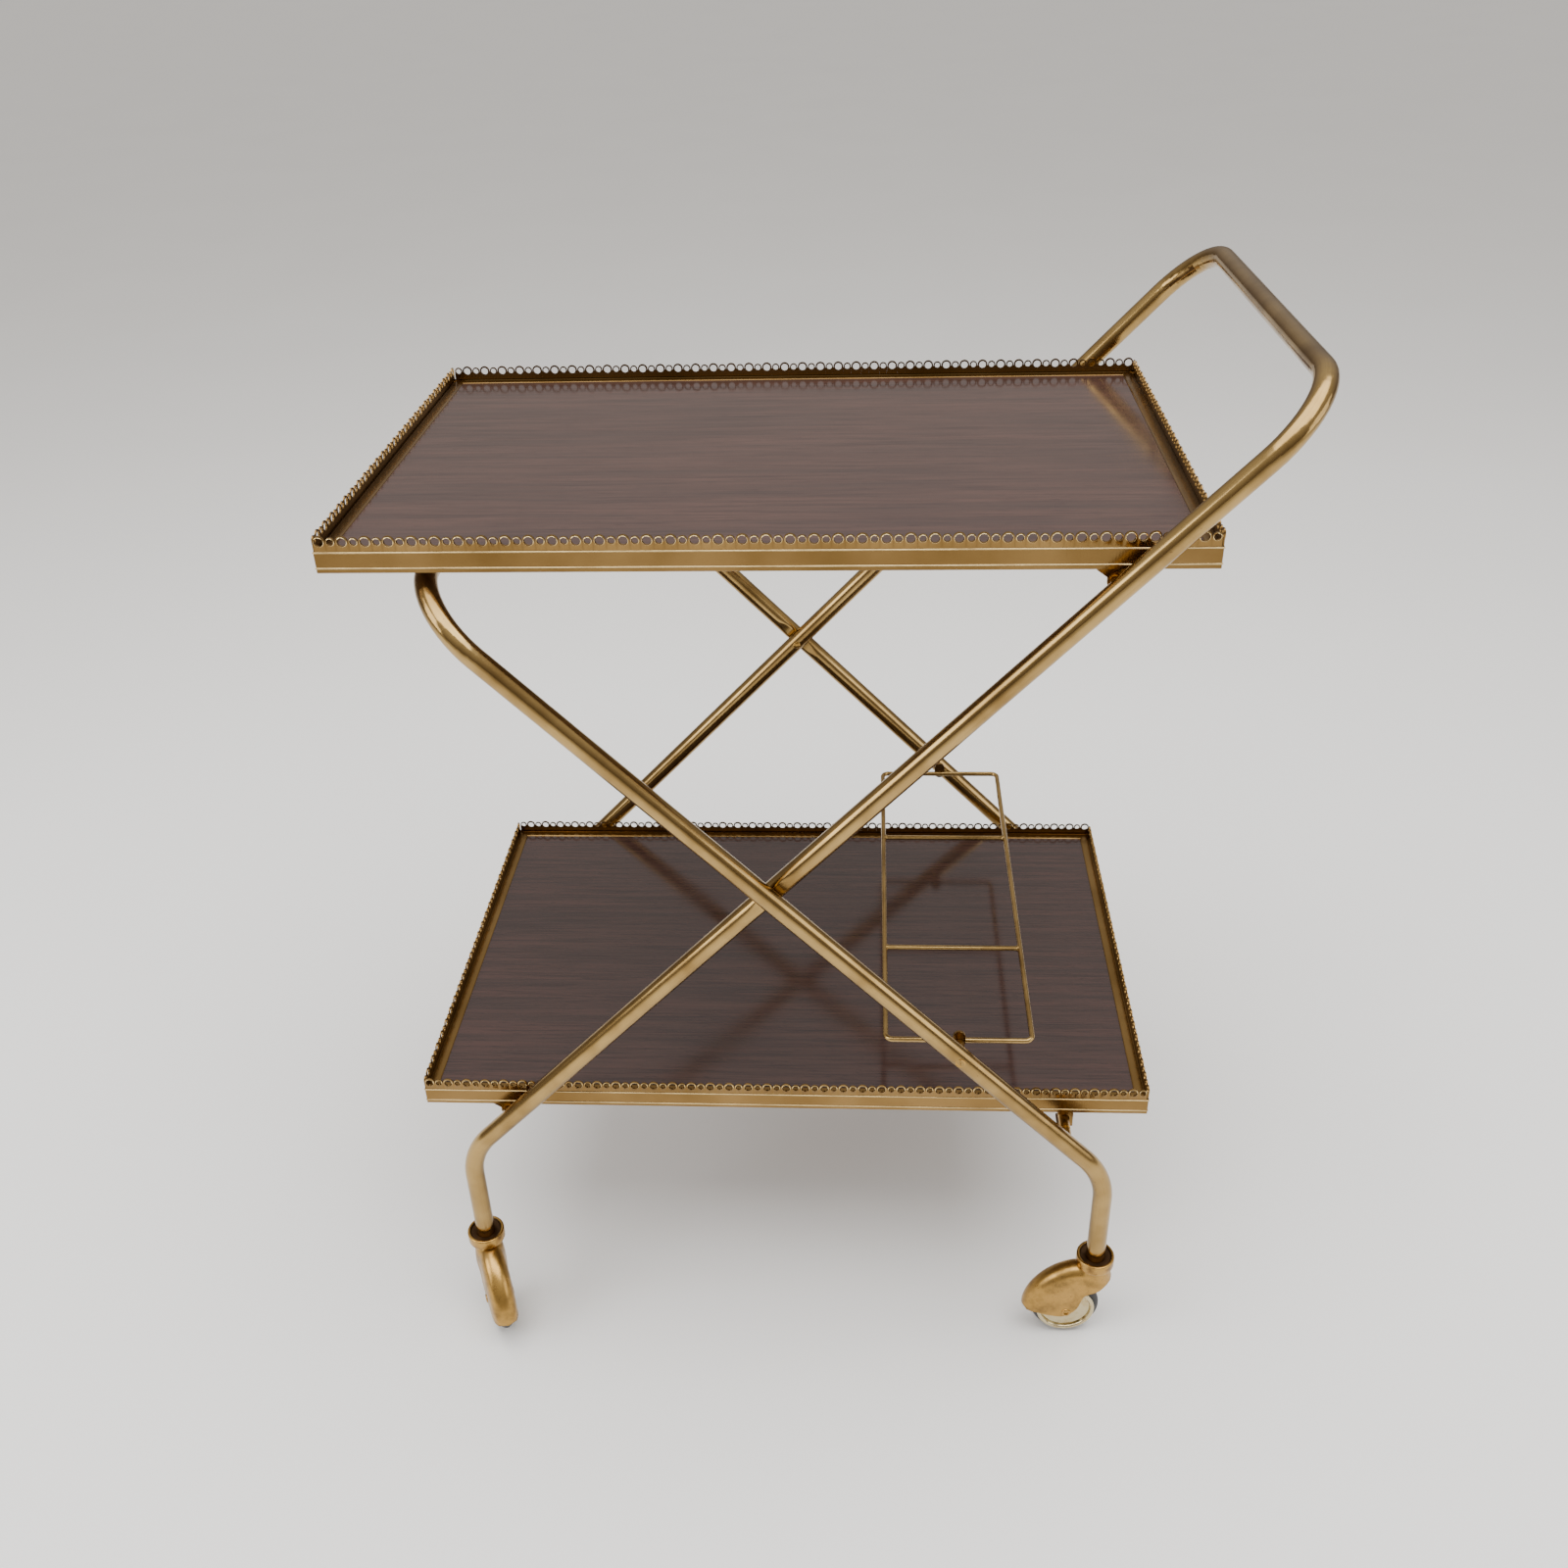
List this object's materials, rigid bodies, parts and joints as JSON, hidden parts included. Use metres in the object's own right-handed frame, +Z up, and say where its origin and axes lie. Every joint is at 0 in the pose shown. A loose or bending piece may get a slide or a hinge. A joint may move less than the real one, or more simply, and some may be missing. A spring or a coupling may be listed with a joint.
{
  "type": "serving trolley",
  "caption": "Folding serving trolley: two gallery-railed trays on a scissor frame of bent brass tube, with a wire bottle rack and hooded castors.",
  "frame": {"origin": "on the floor, under the middle of the trolley's outline", "axes": "+X towards the push handle, +Z up, -Y is the front"},
  "size_m": [0.6644, 0.5294, 0.837],
  "materials": {
    "brassed_tube": "polished and lacquered",
    "brass_gallery": "pressed and lacquered",
    "brass_turned": "turned",
    "brass_plate": "pressed",
    "brass_wire": "drawn and lacquered",
    "brass_castor": "worn",
    "wood_laminate": "glossy dark wood-grain laminate",
    "tray_board": "plain chipboard",
    "steel_screw": "bright",
    "black_tyre": "worn",
    "plug_plastic": "moulded"
  },
  "bodies": {
    "handle_frame": {"handle_tube": "brassed_tube", "scissor_rivets": "brass_turned", "upper_hinge_rivets": "brass_turned", "lower_hinge_rivets": "brass_turned", "front_left_cup_ring": "brass_turned", "front_left_socket_plug": "plug_plastic", "rear_left_cup_ring": "brass_turned", "rear_left_socket_plug": "plug_plastic"},
    "support_frame": {"support_tube": "brassed_tube", "tray_studs": "brass_turned", "rack_rivets": "brass_turned", "front_right_cup_ring": "brass_turned", "front_right_socket_plug": "plug_plastic", "rear_right_cup_ring": "brass_turned", "rear_right_socket_plug": "plug_plastic"},
    "upper_tray": {"upper_rail_front": "brass_gallery", "upper_rail_back": "brass_gallery", "upper_rail_left": "brass_gallery", "upper_rail_right": "brass_gallery", "upper_board": "tray_board", "upper_laminate": "wood_laminate", "upper_hinge_ears": "brass_plate", "upper_hooks": "brass_plate", "upper_plate_screws": "steel_screw"},
    "lower_tray": {"lower_rail_front": "brass_gallery", "lower_rail_back": "brass_gallery", "lower_rail_left": "brass_gallery", "lower_rail_right": "brass_gallery", "lower_board": "tray_board", "lower_laminate": "wood_laminate", "lower_hinge_ears": "brass_plate", "lower_hooks": "brass_plate", "lower_plate_screws": "steel_screw"},
    "bottle_rack": {"rack_frame": "brass_wire", "rack_cross_wires": "brass_wire", "rack_tabs": "brass_plate"},
    "front_left_castor": {"front_left_castor_hood": "brass_castor", "front_left_castor_stem": "steel_screw", "front_left_axle_rivet": "brass_turned"},
    "front_left_wheel": {"front_left_tyre": "black_tyre", "front_left_wheel_disc": "brass_castor"},
    "rear_left_castor": {"rear_left_castor_hood": "brass_castor", "rear_left_castor_stem": "steel_screw", "rear_left_axle_rivet": "brass_turned"},
    "rear_left_wheel": {"rear_left_tyre": "black_tyre", "rear_left_wheel_disc": "brass_castor"},
    "front_right_castor": {"front_right_castor_hood": "brass_castor", "front_right_castor_stem": "steel_screw", "front_right_axle_rivet": "brass_turned"},
    "front_right_wheel": {"front_right_tyre": "black_tyre", "front_right_wheel_disc": "brass_castor"},
    "rear_right_castor": {"rear_right_castor_hood": "brass_castor", "rear_right_castor_stem": "steel_screw", "rear_right_axle_rivet": "brass_turned"},
    "rear_right_wheel": {"rear_right_tyre": "black_tyre", "rear_right_wheel_disc": "brass_castor"}
  },
  "joints": [
    {"name": "scissor_fold", "type": "hinge", "parent": "handle_frame", "child": "support_frame", "pos_m": [-0.03218, 0, 0.46], "axis": [0, 1, 0], "range_deg": [0, 48]},
    {"name": "upper_tray_tilt", "type": "hinge", "parent": "handle_frame", "child": "upper_tray", "pos_m": [0.20053, 0, 0.70098], "axis": [0, 1, 0], "range_deg": [0, 24]},
    {"name": "lower_tray_tilt", "type": "hinge", "parent": "handle_frame", "child": "lower_tray", "pos_m": [-0.26489, 0, 0.21902], "axis": [0, 1, 0], "range_deg": [0, 24]},
    {"name": "bottle_rack_tilt", "type": "hinge", "parent": "support_frame", "child": "bottle_rack", "pos_m": [0.11092, 0, 0.31182], "axis": [0, 1, 0], "range_deg": [-25, 46]},
    {"name": "front_left_swivel", "type": "hinge", "parent": "handle_frame", "child": "front_left_castor", "pos_m": [-0.29803, -0.2089, 0.08], "axis": [0, 0, 1], "continuous": true},
    {"name": "front_left_wheel_spin", "type": "hinge", "parent": "front_left_castor", "child": "front_left_wheel", "pos_m": [-0.28887, -0.22945, 0.0295], "axis": [0.9135, 0.4067, 0], "continuous": true},
    {"name": "rear_left_swivel", "type": "hinge", "parent": "handle_frame", "child": "rear_left_castor", "pos_m": [-0.29803, 0.2089, 0.08], "axis": [0, 0, 1], "continuous": true},
    {"name": "rear_left_wheel_spin", "type": "hinge", "parent": "rear_left_castor", "child": "rear_left_wheel", "pos_m": [-0.28887, 0.22945, 0.0295], "axis": [-0.9135, 0.4067, 0], "continuous": true},
    {"name": "front_right_swivel", "type": "hinge", "parent": "support_frame", "child": "front_right_castor", "pos_m": [0.23367, -0.2225, 0.08], "axis": [0, 0, 1], "continuous": true},
    {"name": "front_right_wheel_spin", "type": "hinge", "parent": "front_right_castor", "child": "front_right_wheel", "pos_m": [0.21118, -0.22329, 0.0295], "axis": [0.0349, -0.9994, 0], "continuous": true},
    {"name": "rear_right_swivel", "type": "hinge", "parent": "support_frame", "child": "rear_right_castor", "pos_m": [0.23367, 0.2225, 0.08], "axis": [0, 0, 1], "continuous": true},
    {"name": "rear_right_wheel_spin", "type": "hinge", "parent": "rear_right_castor", "child": "rear_right_wheel", "pos_m": [0.21118, 0.22329, 0.0295], "axis": [-0.0349, -0.9994, 0], "continuous": true}
  ],
  "couplings": [
    {"joint": "upper_tray_tilt", "follows": "scissor_fold", "ratio": 0.5},
    {"joint": "lower_tray_tilt", "follows": "scissor_fold", "ratio": 0.5}
  ]
}
